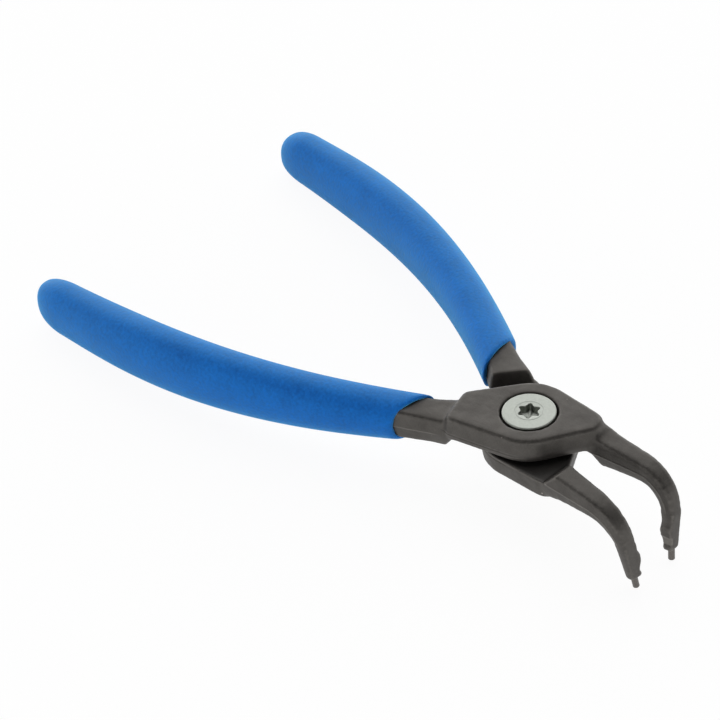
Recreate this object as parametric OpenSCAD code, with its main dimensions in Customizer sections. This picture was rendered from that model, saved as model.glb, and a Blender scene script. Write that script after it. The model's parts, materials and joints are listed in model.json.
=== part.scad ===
// Circlip pliers for internal retaining rings, with bent tips.
// Two forged halves lap over each other on one pivot screw. The jaws bend down towards the work and
// end in pressed-in pins, and the handles are dipped in soft plastic.
// Each half is drawn in its own frame: the pivot axis is Z, the lap plane is Z = 0, the jaws point
// along +X, and the jaw tips meet on the plane Y = 0 when the pliers are closed.
// The finished pliers lie on a bench, on their pins and the ends of their grips.

/* [Pose] */
// Angle that each half is swung open from closed
swing = 6.3; // [3:0.1:9]

/* [Joint] */
// Thickness of each half at the joint
plate_t = 4.9; // [4.4:0.1:6]
// Radius of the joint plate round the pivot
boss_r = 9.4; // [8.8:0.1:10.4]
// Distance of the plate's inner heel behind the pivot
heel_in_x = 12; // [11.5:0.1:12.5]
// Distance of that heel from the pivot towards the handle
heel_in_y = 2.6; // [2.2:0.1:3]
// Distance of the plate's outer heel behind the pivot
heel_out_x = 10.9; // [10.4:0.1:11.4]
// Distance of that heel from the pivot towards the handle
heel_out_y = 8.6; // [8:0.1:9]
// Distance of the plate's cheek in front of the pivot
cheek_x = 10; // [9.6:0.1:10.4]
// Distance of that cheek from the pivot towards the jaw
cheek_y = 4.2; // [3.8:0.1:4.6]
// Radius of the plate's corners on the handle side
heel_r = 2.3; // [1.8:0.1:2.8]
// Radius of the plate's corner on the jaw side
cheek_r = 3.8; // [3.2:0.1:4.4]
// Height of the forging's parting line above the lap plane
parting_z = 1.3; // [0.8:0.1:2]
// How far the upper plate's side walls lean in above the parting line
upper_draft = 0.55; // [0.3:0.05:0.8]
// How far the lower plate's side walls lean in below the parting line
lower_draft = 0.2; // [0.1:0.05:0.5]
// Width and height of the eased edge round the plate's face
edge = 0.6; // [0.3:0.05:0.8]
// Gap between the two lapped faces
lap_gap = 0.6; // [0.3:0.05:0.9]
// Width of the raised bearing ring round the pivot
land_w = 2.4; // [1.5:0.1:3]
// Distance from the pivot to the shoulder before the jaw
jaw_shoulder = 11.6; // [11:0.1:12.5]
// Distance from the pivot to the upper half's shoulder before the handle
upper_tang_shoulder = 13.8; // [12.6:0.1:14.4]
// Distance from the pivot to the lower half's shoulder before the handle
lower_tang_shoulder = 13.2; // [12.8:0.1:13.8]
// Lean of the wall at the jaw shoulder
jaw_shoulder_lean = 42; // [20:1:50]
// Lean of the wall at the upper half's handle shoulder
upper_tang_lean = 32; // [10:1:40]
// Lean of the wall at the lower half's handle shoulder
lower_tang_lean = 16; // [10:1:40]

/* [Pivot screw] */
// Diameter of the screw's flat head
head_d = 10.4; // [9.4:0.1:11.4]
// Thickness of the screw's head
head_t = 2; // [1.6:0.1:2.4]
// Bevel round the rim of the head
head_bevel = 0.35; // [0.2:0.05:0.5]
// Diameter of the smooth shoulder that the upper half turns on
shoulder_d = 7; // [6:0.1:8]
// Diameter of the threaded end
thread_d = 5; // [4:0.1:5.6]
// Diameter across the points of the star recess
star_d = 4.5; // [3.6:0.1:5]
// Depth of the star recess
star_depth = 1.6; // [1:0.1:1.9]
// Radial clearance of the turning fits
run_fit = 0.03; // [0.02:0.01:0.08]
// Axial clearance on each side of the upper half
axial_fit = 0.05; // [0.03:0.01:0.1]
// Radial clearance of the pressed and screwed fits
seat_fit = 0.01; // [0.005:0.005:0.02]
// How far the screw's end stays inside the lower half
screw_end_recess = 0.3; // [0.1:0.05:0.6]
// Radial gap round the head in its counterbore
head_gap = 0.35; // [0.25:0.05:0.5]

/* [Jaws] */
// Distance of the jaw's root in front of the pivot
jaw_root_x = 9.5; // [9.2:0.1:10]
// Distance of the jaw from the tool's middle plane at its root
jaw_root_y = 4.9; // [4.6:0.1:5.4]
// Angle at which the jaw runs in towards the middle plane
jaw_toe_in = 2.8; // [2:0.1:3.5]
// Straight length of the jaw before its bend
jaw_run = 13.4; // [12:0.1:16]
// Radius of the bend along the middle of the jaw
bend_r = 7.4; // [6:0.1:9]
// Angle of the bend
bend_angle = 84; // [70:1:90]
// Straight length after the bend
tip_leg = 7.9; // [7.2:0.1:9]
// Inward lean of the tip, seen from the front
tip_lean = 7.8; // [7:0.1:9]
// Jaw width at the root
jaw_root_w = 6.2; // [5.6:0.1:7]
// Jaw thickness at the root
jaw_root_h = 7; // [6.4:0.1:7.8]
// How much higher the jaw is at its root, where it runs out of the plate
jaw_neck_h = 0.7; // [0.4:0.1:1]
// Length over which that extra height dies away
jaw_neck_l = 8; // [7:0.5:9]
// How far the middle of the jaw lies below the lap plane
jaw_sink = 0.4; // [0:0.05:0.7]
// Jaw width at the tip
jaw_tip_w = 2.7; // [2.4:0.1:3]
// Jaw thickness at the tip
jaw_tip_h = 2; // [1.8:0.1:2.6]
// Height of the pad where the two tips meet
pad_h = 4.3; // [3.9:0.1:5]
// Length of the ramp up to the pad
pad_ramp = 2; // [1.6:0.1:2.6]
// Gap between the pads when both halves lie straight along the middle plane
pad_gap = 1; // [0.6:0.1:1.4]
// How far the pad widens the tip towards the other jaw
pad_out = 1.3; // [0.8:0.1:1.8]
// Height of the groove across each pad
groove_h = 1.1; // [0.8:0.1:1.4]
// Depth of that groove
groove_depth = 0.3; // [0.15:0.05:0.4]
// Place of that groove, as a share of the pad's height from the tip
groove_place = 0.42; // [0.3:0.01:0.6]

/* [Tip pins] */
// Diameter of the pins that enter the ring's holes
pin_d = 1.3; // [1:0.05:1.6]
// Length of pin that stands out of the jaw
pin_out = 2.45; // [1.8:0.05:3.5]
// Length of the tapered shank that is pressed into the jaw
pin_in = 3.6; // [3:0.1:4.5]
// Diameter of the shank at its inner end
shank_d = 0.9; // [0.8:0.05:1]
// How far the taper reaches out of the jaw
taper_out = 0.1; // [0.06:0.02:0.2]
// Bevel on the free end of the pin
pin_bevel = 0.15; // [0.05:0.05:0.25]

/* [Handles] */
// Distance from the pivot to the end of the handle curve
handle_l = 102.2; // [96:0.1:110]
// How much wider the bare steel gets from the grip to the joint, on the inner side of the handle
inner_flare = 1; // [0.6:0.1:1.3]
// How much wider it gets on the outer side
outer_flare = 2.4; // [1.6:0.1:3]
// Distance of the handle curve's start behind the pivot
handle_root_x = 10.2; // [9.8:0.1:10.6]
// Distance of the handle curve's start from the middle plane, when closed
handle_root_y = 4.6; // [4.3:0.1:5]
// Distance of the handle's end from the middle plane, when closed
handle_end_y = 22.7; // [20:0.1:26]
// Distance of the handle's bow from the middle plane, when closed
handle_bow_y = 25.5; // [23:0.1:28]
// How much the bow eases off towards the end
handle_ease = 1.3; // [0.8:0.1:1.8]
// Width of the grip at its mouth
grip_mouth_w = 8.8; // [8.5:0.1:9.2]
// Width of the grip along its middle
grip_mid_w = 9.5; // [9.1:0.1:10.2]
// Width of the grip at its end
grip_end_w = 8.1; // [7.8:0.1:8.6]
// Thickness of the grip at its mouth
grip_mouth_h = 8.6; // [8.2:0.1:9.2]
// Thickness of the grip along its middle
grip_mid_h = 13.1; // [12:0.1:14]
// Thickness of the grip at its end
grip_end_h = 11; // [10.4:0.1:11.6]
// Thickness of the plastic
grip_wall = 1.1; // [0.9:0.05:1.3]
// Slant of the upper grip's mouth against a square cut
upper_mouth_slant = 40; // [30:1:44]
// Slant of the lower grip's mouth against a square cut
lower_mouth_slant = 40; // [30:1:44]
// Gap between the steel and the plastic
grip_fit = 0.05; // [0.03:0.01:0.1]

/* [Hidden] */
$fn = 64;
far = 40; // reach of a cut that passes right through

// Colours of the finishes
phosphate = "#46433f";
zinc = "#c9cccb";
blue_dip = "#2a6cc0";

// Plan of the joint plate: its corners, as [x, y, radius]
plate_corners = [
    [0, 0, boss_r],
    [-heel_in_x, -heel_in_y, heel_r],
    [-heel_out_x, -heel_out_y, heel_r],
    [cheek_x, cheek_y, cheek_r]
];

// Directions, in plan, in which the shoulders lie from the pivot
jaw_shoulder_dir = -6;
upper_tang_dir = 206;
lower_tang_dir = 214;

// Shoulder before the handle on each half, as distance, lean and direction
upper_shoulder = [upper_tang_shoulder, upper_tang_lean, upper_tang_dir];
lower_shoulder = [lower_tang_shoulder, lower_tang_lean, lower_tang_dir];

// Curve of the handle in plan, from the joint to the end of the grip
handle_curve = [
    [-handle_root_x, -handle_root_y],
    [-0.51 * handle_l, -handle_bow_y],
    [-0.735 * handle_l, handle_ease - handle_bow_y],
    [-handle_l, -handle_end_y]
];
flare_t = 0.082; // place on the curve where the steel starts to flare towards the joint
upper_mouth_t = 0.086; // place of the upper grip's mouth
lower_mouth_t = 0.074; // place of the lower grip's mouth
slant_fade = 0.2; // share of the curve over which the mouth's slant dies away
belly_t = 0.6; // place where the grip is thickest
broad_t = 0.7; // place where the grip starts to narrow towards its end
tang_end_t = 0.93; // place where the steel ends inside the grip
lip = 0.5; // length of the rounded lip at the mouth
cap_t = 0.94; // place where the grip's rounded end starts
cap_l = 7.8; // length of that end
cap_rise = 1.6; // how far its tip lies above its middle
cap_power = 0.56; // how blunt it is: 1 is an ellipse, less is blunter

ring_n = 24; // points round every lofted section
land_r = shoulder_d / 2 + land_w;

// One quarter of a forged section, from the parting line to the flat top, as shares of its half sizes
forged_quarter = [[1, 0.05], [0.955, 0.33], [0.905, 0.62], [0.84, 0.86], [0.72, 0.97], [0.5, 1]];

// A whole section from a quarter of it, anticlockwise
function all_round(q) = let (n = len(q)) concat(
    q,
    [for (i = [n - 1:-1:0]) [-q[i].x, q[i].y]],
    [for (p = q) [-p.x, -p.y]],
    [for (i = [n - 1:-1:0]) [q[i].x, -q[i].y]]
);
forged = all_round(forged_quarter);

// Soft round section with slightly flat sides
soft = let (power = 0.86) [for (i = [0:ring_n - 1])
    let (a = (i + 0.5) * 360 / ring_n)
    [sign(cos(a)) * pow(abs(cos(a)), power), sign(sin(a)) * pow(abs(sin(a)), power)]];

function mix(a, b, t) = a + (b - a) * t;
function smooth(t) = let (u = max(0, min(1, t))) u * u * (3 - 2 * u);
function unit(v) = v / norm(v);

// Point and direction on a four-point curve
function on_curve(p, t) = pow(1 - t, 3) * p[0] + 3 * pow(1 - t, 2) * t * p[1]
    + 3 * (1 - t) * t * t * p[2] + pow(t, 3) * p[3];
function along_curve(p, t) = unit(pow(1 - t, 2) * (p[1] - p[0])
    + 2 * (1 - t) * t * (p[2] - p[1]) + t * t * (p[3] - p[2]));

// One placed ring: section points scaled by half width and half height about a centre
function ring(section, centre, side, up, half_w, half_h) =
    [for (p = section) centre + p.x * half_w * side + p.y * half_h * up];

// Solid skin over a row of rings that all have the same number of points
module loft(rings) {
    n = len(rings[0]);
    last = (len(rings) - 1) * n;
    walls = [for (i = [0:len(rings) - 2], j = [0:n - 1])
        let (a = i * n + j, b = i * n + (j + 1) % n)
        each [[a, b + n, a + n], [a, b, b + n]]];
    ends = [[for (j = [n - 1:-1:0]) j], [for (j = [0:n - 1]) last + j]];
    polyhedron([for (r = rings) each r], concat(walls, ends));
}

// Half sizes of the grip along the handle curve
function grip_half_w(t) = (t < broad_t
    ? mix(grip_mouth_w, grip_mid_w, smooth((t - flare_t) / 0.5))
    : mix(grip_mid_w, grip_end_w, smooth((t - broad_t) / 0.4))) / 2;
function swell(t) = 1 - pow(1 - max(0, t - flare_t) / (belly_t - flare_t), 2);
function grip_half_h(t) = (t < belly_t
    ? mix(grip_mouth_h, grip_mid_h, swell(t))
    : mix(grip_mid_h, grip_end_h, smooth((t - belly_t) / 0.48))) / 2;
function handle_side(t) = let (d = along_curve(handle_curve, t)) [d.y, -d.x, 0];
function handle_at(t) = let (c = on_curve(handle_curve, t)) [c.x, c.y, 0];
function handle_dir(t) = let (d = along_curve(handle_curve, t)) [d.x, d.y, 0];

// Ring of the steel tang inside the grip, or of the cavity round it. Near the joint the tang flares out
function tang_ring(t, gap) = let (shell = grip_wall + grip_fit - gap, flare = 1 - smooth(t / flare_t))
    [for (p = forged) handle_at(t) + [0, 0, p.y * (grip_half_h(t) - shell)]
        + p.x * (grip_half_w(t) - shell + flare * (p.x > 0 ? inner_flare : outer_flare)) * handle_side(t)];

// A ring sheared along the handle, so that the mouth slants
function slanted(points, t, mouth, slant) = let (shear = tan(slant) * (1 - smooth((t - mouth) / slant_fade)))
    [for (p = points) p - handle_dir(t) * shear * ((p - handle_at(t)) * handle_side(t))];

// Outer rings of the grip: lip, body and rounded end
function grip_ring(t, inset, ahead) = ring(soft, handle_at(t) + ahead * handle_dir(t), handle_side(t),
    [0, 0, 1], grip_half_w(t) - inset, grip_half_h(t) - inset);
function grip_skin(mouth, slant) = concat(
    [slanted(grip_ring(mouth, lip, 0), mouth, mouth, slant)],
    [slanted(grip_ring(mouth, lip * 0.25, lip * 0.5), mouth, mouth, slant)],
    [for (i = [0:20]) let (t = mix(mouth + 0.012, cap_t, i / 20))
        slanted(grip_ring(t, 0, 0), t, mouth, slant)],
    [for (a = [12:12:84]) let (shrink = pow(cos(a), cap_power)) ring(soft,
        handle_at(cap_t) + cap_l * sin(a) * handle_dir(cap_t) + cap_rise * (1 - shrink) * [0, 0, 1],
        handle_side(cap_t), [0, 0, 1], grip_half_w(cap_t) * shrink, grip_half_h(cap_t) * shrink)]
);

// Path of the jaw: centre, direction, upward normal, for a share t of its length, bent by sense -1 or 1
jaw_bent = bend_r * bend_angle * PI / 180;
jaw_l = jaw_run + jaw_bent + tip_leg;
function jaw_turn(s) = max(0, min(bend_angle, (s - jaw_run) / bend_r * 180 / PI));
function jaw_reach(s) = min(s, jaw_run) + bend_r * sin(jaw_turn(s))
    + max(0, s - jaw_run - jaw_bent) * cos(bend_angle);
function jaw_drop(s) = bend_r * (1 - cos(jaw_turn(s)))
    + max(0, s - jaw_run - jaw_bent) * sin(bend_angle);
function jaw_at(s, sense) = [
    jaw_root_x + jaw_reach(s) * cos(jaw_toe_in),
    jaw_root_y - jaw_reach(s) * sin(jaw_toe_in) - jaw_drop(s) * tan(tip_lean),
    sense * (jaw_sink + jaw_drop(s))
];
jaw_plan = [cos(jaw_toe_in), -sin(jaw_toe_in), 0];
function jaw_dir(s, sense) = unit(cos(jaw_turn(s)) * jaw_plan
    + sin(jaw_turn(s)) * [0, -tan(tip_lean), sense]);
jaw_side = [-sin(jaw_toe_in), -cos(jaw_toe_in), 0]; // towards the other jaw
function jaw_up(s, sense) = cross(jaw_side, jaw_dir(s, sense));

// Half sizes of the jaw: it tapers to the tip, and widens inwards at the pad
function jaw_half_w(s) = mix(jaw_root_w, jaw_tip_w, pow(s / jaw_l, 0.9)) / 2;
function jaw_half_h(s) = mix(jaw_root_h, jaw_tip_h, pow(s / jaw_l, 0.85)) / 2;
function jaw_neck(s) = jaw_neck_h * (1 - smooth(s / jaw_neck_l));
function pad_reach(s) = pad_out * smooth((s - jaw_l + pad_h + pad_ramp) / pad_ramp);
function jaw_ring(s, sense) = let (c = jaw_at(s, sense), up = jaw_up(s, sense))
    [for (p = forged) c + p.y * (jaw_half_h(s) + (p.y > 0 ? jaw_neck(s) : 0)) * up
        + p.x * (jaw_half_w(s) + (p.x > 0 ? pad_reach(s) : 0)) * jaw_side];

// Joint plate with its parting line, draft and eased top edge
module plate(draft) {
    hull() for (c = plate_corners) translate([c.x, c.y, 0]) {
        cylinder(r1 = c[2] - draft / 2, r2 = c[2], h = parting_z);
        translate([0, 0, plate_t - edge]) cylinder(r1 = c[2] - draft, r2 = c[2] - draft - edge, h = edge);
    }
}

// Steel under the grip. With a gap it is the cavity that the grip keeps for it
module tang(gap = 0) {
    loft([for (i = [0:16]) tang_ring(mix(-0.005, tang_end_t + gap / handle_l, i / 16), gap)]);
}

module jaw(sense) {
    difference() {
        loft([for (i = [0:30]) jaw_ring(jaw_l * i / 30, sense)]);
        // flat pad on the middle plane, and the groove across it
        translate([0, pad_gap / 2 - far, -far]) cube([far, far, 2 * far]);
        pad_groove(sense);
    }
}

module pad_groove(sense) {
    s = jaw_l - pad_h * groove_place;
    translate([jaw_at(s, sense).x, pad_gap / 2, jaw_at(s, sense).z])
        cube([far / 4, 2 * groove_depth, groove_h], center = true);
}

// Room for the other half below the lap plane, between the two leaning shoulders
module lap_pocket(tang_shoulder) {
    intersection() {
        rotate([0, 0, jaw_shoulder_dir]) shoulder_side(jaw_shoulder, jaw_shoulder_lean);
        rotate([0, 0, tang_shoulder[2]]) shoulder_side(tang_shoulder[0], tang_shoulder[1]);
    }
}

// All that lies below the lap plane and on the pivot's side of a wall that leans away from it
module shoulder_side(distance, wall_lean) {
    depth = far / 2;
    rotate([90, 0, 0]) linear_extrude(2 * far, center = true)
        polygon([[-far, 0], [distance, 0], [distance + depth * tan(wall_lean), -depth], [-far, -depth]]);
}

// Steel of one half before the pivot is bored. The jaw bends towards the lap side or away from it,
// and lap is the height of the lapped face
module forging(sense, lap, draft, tang_shoulder) {
    difference() {
        union() {
            plate(draft);
            tang();
            jaw(sense);
        }
        translate([0, 0, lap]) lap_pocket(tang_shoulder);
        along_pin(sense) pin_shank(seat_fit);
    }
}

// Places things on the pin's axis, with Z pointing out of the jaw
module along_pin(sense) {
    d = jaw_dir(jaw_l, sense);
    translate(jaw_at(jaw_l, sense)) rotate([0, acos(d.z), atan2(d.y, d.x)]) children();
}

// Part of the pin inside the jaw. With a gap it is the seat for it
module pin_shank(gap = 0) {
    translate([0, 0, -pin_in])
        cylinder(d1 = shank_d + 2 * gap, d2 = pin_d + 2 * gap, h = pin_in + taper_out);
}

module tip_pin(sense) {
    along_pin(sense) {
        pin_shank();
        translate([0, 0, taper_out]) cylinder(d = pin_d, h = pin_out - pin_bevel - taper_out);
        translate([0, 0, pin_out - pin_bevel])
            cylinder(d1 = pin_d, d2 = pin_d - 2 * pin_bevel, h = pin_bevel);
    }
}

module grip(mouth, slant) {
    difference() {
        loft(grip_skin(mouth, slant));
        tang(grip_fit);
    }
}

// The lower half is turned over about the tool's length, and each half is swung open
module upper_place() {
    on_bench() rotate([0, 0, swing]) children();
}
module lower_place() {
    on_bench() rotate([0, 0, -swing]) rotate([180, 0, 0]) children();
}

// The lowest grip point and the lowest edge of the pin decide how the pliers lie on the bench
function swung(p) = [p.x * cos(swing) - p.y * sin(swing), p.x * sin(swing) + p.y * cos(swing), p.z];
grip_points = [for (r = grip_skin(upper_mouth_t, 0), p = r, side = [-1, 1]) swung([p.x, p.y, side * p.z])];
function lean_on(p) = min([for (g = grip_points) atan((g.z - p.z) / (p.x - g.x))]);
pin_axis = swung(jaw_dir(jaw_l, -1));
pin_end = swung(jaw_at(jaw_l, -1) + pin_out * jaw_dir(jaw_l, -1));
down = let (a = lean_on(pin_end)) [-sin(a), 0, -cos(a)];
pin_low = pin_end + (pin_d / 2 - pin_bevel) * unit(down - (down * pin_axis) * pin_axis);
lean = lean_on(pin_low);
function leaned(p) = [p.x * cos(lean) - p.z * sin(lean), p.y, p.x * sin(lean) + p.z * cos(lean)];
bench_z = leaned(pin_low).z;
jaw_front = max([for (i = [15:30], p = jaw_ring(jaw_l * i / 30, -1)) leaned(swung(p)).x]);
pin_front = leaned(pin_end - pin_bevel * pin_axis).x + pin_d / 2 * sqrt(1 - pow(leaned(pin_axis).x, 2));
front_x = max(jaw_front, pin_front);
back_x = min([for (p = grip_points) leaned(p).x]);
module on_bench() {
    translate([-(front_x + back_x) / 2, 0, -bench_z]) rotate([0, -lean, 0]) children();
}

module upper_half() {
    color(phosphate) upper_place() difference() {
        forging(-1, 0, upper_draft, upper_shoulder);
        translate([0, 0, -far]) cylinder(r = shoulder_d / 2 + run_fit, h = 2 * far);
        translate([0, 0, plate_t - head_t]) cylinder(r = head_d / 2 + head_gap, h = far);
    }
}

module lower_half() {
    color(phosphate) lower_place() difference() {
        union() {
            forging(1, lap_gap, lower_draft, lower_shoulder);
            translate([0, 0, axial_fit]) cylinder(r = land_r, h = plate_t / 2);
        }
        translate([0, 0, -far]) cylinder(r = thread_d / 2 + seat_fit, h = 2 * far);
    }
}

// Pivot screw, with the head's underside just above its seat in the upper half
module pivot_screw() {
    neck = plate_t - head_t + 2 * axial_fit;
    color(zinc) upper_place() difference() {
        union() {
            translate([0, 0, -axial_fit]) cylinder(d = shoulder_d, h = neck);
            translate([0, 0, screw_end_recess - plate_t]) cylinder(d = thread_d, h = plate_t);
            translate([0, 0, plate_t - head_t + axial_fit]) {
                cylinder(d = head_d, h = head_t - head_bevel);
                translate([0, 0, head_t - head_bevel])
                    cylinder(d1 = head_d, d2 = head_d - 2 * head_bevel, h = head_bevel);
            }
        }
        translate([0, 0, plate_t + axial_fit - star_depth]) star();
    }
}

// Six-lobed drive recess
module star() {
    lobe_r = star_d * 0.105;
    valley_r = star_d * 0.19;
    linear_extrude(star_depth + 1) difference() {
        union() {
            circle(d = star_d * 0.86);
            for (a = [0:60:300]) rotate(a) translate([star_d / 2 - lobe_r, 0]) circle(lobe_r);
        }
        for (a = [30:60:330]) rotate(a) translate([star_d * 0.53, 0]) circle(valley_r);
    }
}

module upper_tip_pin() {
    color(phosphate) upper_place() tip_pin(-1);
}

module lower_tip_pin() {
    color(phosphate) lower_place() tip_pin(1);
}

module upper_grip() {
    color(blue_dip) upper_place() grip(upper_mouth_t, upper_mouth_slant);
}

module lower_grip() {
    color(blue_dip) lower_place() grip(lower_mouth_t, lower_mouth_slant);
}

upper_half();
lower_half();
pivot_screw();
upper_tip_pin();
lower_tip_pin();
upper_grip();
lower_grip();
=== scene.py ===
# Circlip pliers for internal retaining rings: dark forged halves, blue dipped grips, bright pivot screw.
# Shapes are worked out in millimetres in each half's own frame (pivot along Z, jaws along +X),
# then placed on the bench in metres.
import json
import math

import bmesh
import bpy
import numpy as np
from mathutils import Matrix, Vector


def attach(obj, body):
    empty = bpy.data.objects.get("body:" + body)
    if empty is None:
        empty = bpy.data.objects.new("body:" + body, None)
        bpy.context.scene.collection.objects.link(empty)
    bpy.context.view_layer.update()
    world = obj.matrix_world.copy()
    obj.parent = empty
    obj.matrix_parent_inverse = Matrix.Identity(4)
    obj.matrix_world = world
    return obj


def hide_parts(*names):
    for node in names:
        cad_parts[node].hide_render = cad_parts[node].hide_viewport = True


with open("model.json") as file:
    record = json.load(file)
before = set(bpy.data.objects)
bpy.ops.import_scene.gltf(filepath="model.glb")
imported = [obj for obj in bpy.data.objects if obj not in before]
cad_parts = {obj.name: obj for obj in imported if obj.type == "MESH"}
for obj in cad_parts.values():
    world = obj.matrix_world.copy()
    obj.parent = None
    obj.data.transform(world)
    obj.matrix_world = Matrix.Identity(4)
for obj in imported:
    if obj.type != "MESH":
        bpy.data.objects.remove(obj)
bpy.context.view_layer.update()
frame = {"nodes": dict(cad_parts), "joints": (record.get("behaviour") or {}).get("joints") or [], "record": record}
scene = bpy.context.scene

# The pivot joint gives the lean of the whole tool, and each half is swung open from the middle
pivotJoint = frame["joints"][0]
pivotPlace = Vector(pivotJoint["pos_m"])
pivotAxis = Vector(pivotJoint["axis"])
toolLean = math.atan2(-pivotAxis.x, pivotAxis.z)
openSwing = math.radians(6.3)
metresPerMm = 0.001

jointPlace = (Matrix.Translation(pivotPlace) @ Matrix.Rotation(-toolLean, 4, "Y")
              @ Matrix.Scale(metresPerMm, 4))
halfPlace = {
    "upper": jointPlace @ Matrix.Rotation(openSwing, 4, "Z"),
    "lower": jointPlace @ Matrix.Rotation(-openSwing, 4, "Z") @ Matrix.Rotation(math.pi, 4, "X"),
}


def linearColour(hexText):
    parts = [int(hexText[i:i + 2], 16) / 255 for i in (1, 3, 5)]
    return tuple(c / 12.92 if c <= 0.04045 else ((c + 0.055) / 1.055) ** 2.4 for c in parts) + (1.0,)


def addNode(tree, kind, links=None, **settings):
    # settings are the node's properties, and links feed its inputs, by name or number:
    # with a value, a socket, a node (its first live output) or a list of those
    node = tree.nodes.new(kind)
    for name, value in settings.items():
        setattr(node, name, value)
    for key, value in (links or {}).items():
        if isinstance(key, int):
            socket = node.inputs[key]
        else:
            socket = next(s for s in node.inputs if s.enabled and s.name == key)
        for source in value if isinstance(value, list) else [value]:
            if isinstance(source, bpy.types.Node):
                source = next(s for s in source.outputs if s.enabled)
            if isinstance(source, bpy.types.NodeSocket):
                tree.links.new(source, socket)
            else:
                socket.default_value = source
    return node


def newMaterial(name):
    material = bpy.data.materials.new(name)
    material.use_nodes = True
    material.node_tree.nodes.clear()
    return material, material.node_tree


def perMetre(sizeInMm):
    return 1.0 / (sizeInMm * metresPerMm)


noiseSpan = {"From Min": 0.3, "From Max": 0.7}   # what a noise texture mostly gives


# Manganese phosphate on drop-forged steel: a matt grey-brown crystal coat over the blasted forging skin
def phosphatedForging():
    look = {
        "dark": "#464340", "light": "#5f5c58", "machined": "#454341",
        # the pale edge colour is partly wear and partly painted highlight, and the near-black one is painted shade
        # for the hollows
        "wearAndEdgeHighlight": "#8d8983", "hollowShade": "#2e2b28", "nick": "#b3aca6",
        "grain": 0.3, "blotch": 4.0,               # mm, the grain is drawn coarser than the real crystals
        "grainShare": 0.45,
        "wearAndHighlightFrom": 0.25, "wearAndHighlightShare": 0.5,        # relief runs from -1 in hollows to 1 on edges
        "hollowShadeFrom": -0.2, "hollowShadeShare": 0.75,
        "nickStep": 3.2, "nickSize": (0.07, 0.042),   # mm between nicks, and their share of that
        "nickSpots": (0.56, 0.6),                  # nicks show only where the blotches are light
        "rough": (0.44, 0.6), "machinedRough": 0.4, "metallic": 0.7,
        "bumpDepth": 0.03, "bumpStrength": 0.5,
    }
    material, tree = newMaterial("phosphatedForgedSteel")
    place = addNode(tree, "ShaderNodeTexCoord").outputs["Object"]
    grain = addNode(tree, "ShaderNodeTexNoise", {
        "Vector": place, "Scale": perMetre(look["grain"]), "Detail": 3.0, "Roughness": 0.6})
    blotch = addNode(tree, "ShaderNodeTexNoise", {
        "Vector": place, "Scale": perMetre(look["blotch"]), "Detail": 4.0, "Roughness": 0.55})
    blend = addNode(tree, "ShaderNodeMix", {
        "Factor": look["grainShare"], "A": blotch, "B": grain}, data_type="FLOAT")
    tone = addNode(tree, "ShaderNodeMapRange", {"Value": blend, **noiseSpan})
    coat = addNode(tree, "ShaderNodeMix", {
        "Factor": tone, "A": linearColour(look["dark"]),
        "B": linearColour(look["light"])}, data_type="RGBA")
    relief = addNode(tree, "ShaderNodeAttribute", attribute_name="relief").outputs["Fac"]
    # convex edges turn lighter: partly wear, partly a painted highlight along the rims
    edges = addNode(tree, "ShaderNodeMapRange", {
        "Value": relief, "From Min": look["wearAndHighlightFrom"], "From Max": 1.0, "To Max": look["wearAndHighlightShare"]})
    # hollows and creases turn darker: painted shade
    hollows = addNode(tree, "ShaderNodeMapRange", {
        "Value": relief, "From Min": look["hollowShadeFrom"], "From Max": -1.0, "To Max": look["hollowShadeShare"]})
    cells = addNode(tree, "ShaderNodeTexVoronoi", {"Vector": place, "Scale": perMetre(look["nickStep"])})
    nicked = addNode(tree, "ShaderNodeMapRange", {
        "Value": cells.outputs["Distance"],
        "From Min": look["nickSize"][0], "From Max": look["nickSize"][1]})
    rare = addNode(tree, "ShaderNodeMapRange", {
        "Value": blotch, "From Min": look["nickSpots"][0], "From Max": look["nickSpots"][1]})
    nicks = addNode(tree, "ShaderNodeMath", {0: nicked, 1: rare}, operation="MULTIPLY")
    machined = addNode(tree, "ShaderNodeAttribute", attribute_name="machined").outputs["Fac"]
    # lighter edges are partly wear and partly painted highlight, darker hollows are painted shade
    for label, share in (("wearAndEdgeHighlight", edges), ("hollowShade", hollows), ("nick", nicks), ("machined", machined)):
        coat = addNode(tree, "ShaderNodeMix", {
            "Factor": share, "A": coat, "B": linearColour(look[label])}, data_type="RGBA")
    rough = addNode(tree, "ShaderNodeMapRange", {
        "Value": grain, **noiseSpan, "To Min": look["rough"][0], "To Max": look["rough"][1]})
    gloss = addNode(tree, "ShaderNodeMix", {
        "Factor": machined, "A": rough, "B": look["machinedRough"]}, data_type="FLOAT")
    bump = addNode(tree, "ShaderNodeBump", {
        "Height": grain, "Strength": look["bumpStrength"], "Distance": look["bumpDepth"] * metresPerMm})
    shader = addNode(tree, "ShaderNodeBsdfPrincipled", {
        "Base Color": coat, "Roughness": gloss, "Normal": bump, "Metallic": look["metallic"]})
    addNode(tree, "ShaderNodeOutputMaterial", {"Surface": shader})
    return material


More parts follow.
